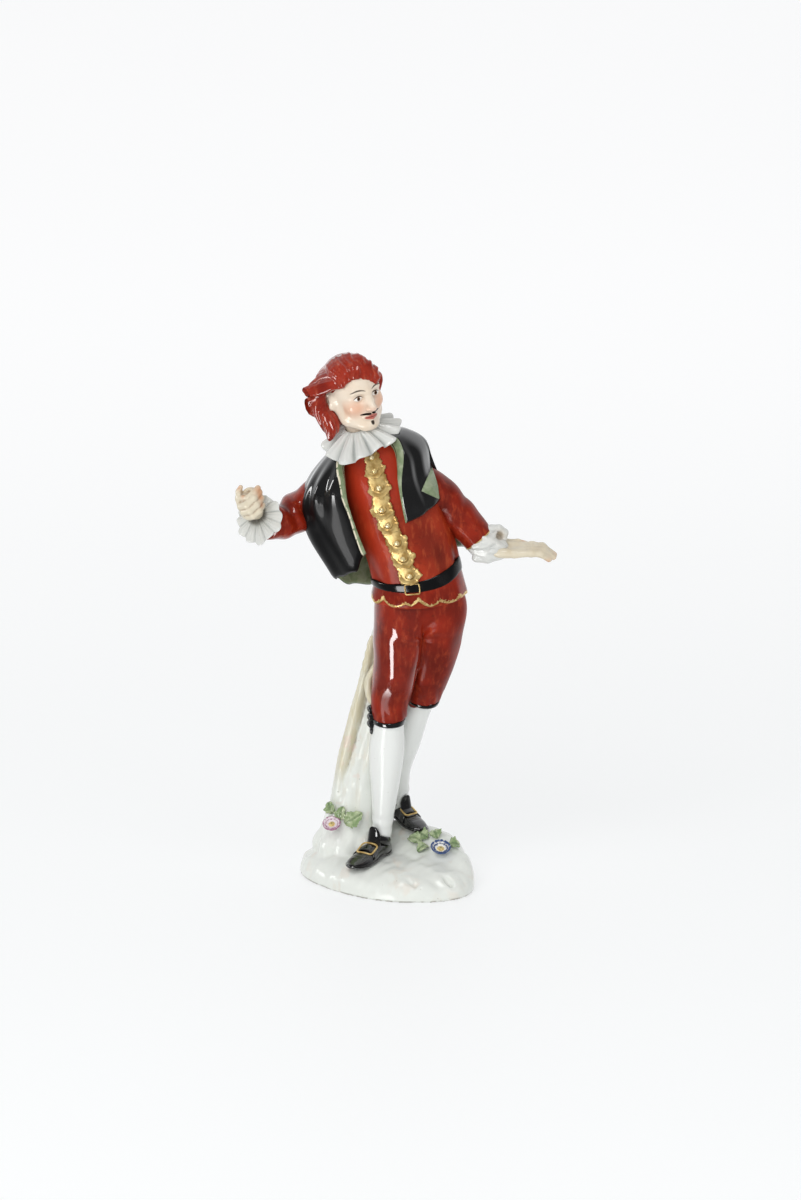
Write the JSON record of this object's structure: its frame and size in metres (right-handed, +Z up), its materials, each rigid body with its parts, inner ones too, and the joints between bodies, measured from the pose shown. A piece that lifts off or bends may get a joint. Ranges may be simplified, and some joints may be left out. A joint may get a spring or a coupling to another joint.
{
  "type": "commedia dell'arte figurine",
  "caption": "Porcelain figure of a comedy player in a belted coat, short cape and pleated ruff, one hand raised, standing on a rocky mound against a tree stump.",
  "frame": {"origin": "middle of the mound's flat underside", "axes": "+Z up, the player's chest faces -Y, +X towards the player's open left hand"},
  "size_m": [0.08, 0.0397, 0.1398],
  "materials": {
    "porcelain": "glossy glaze over painted enamel colours and gilding"
  },
  "bodies": {
    "root": {"figurine": "porcelain"}
  },
  "joints": []
}
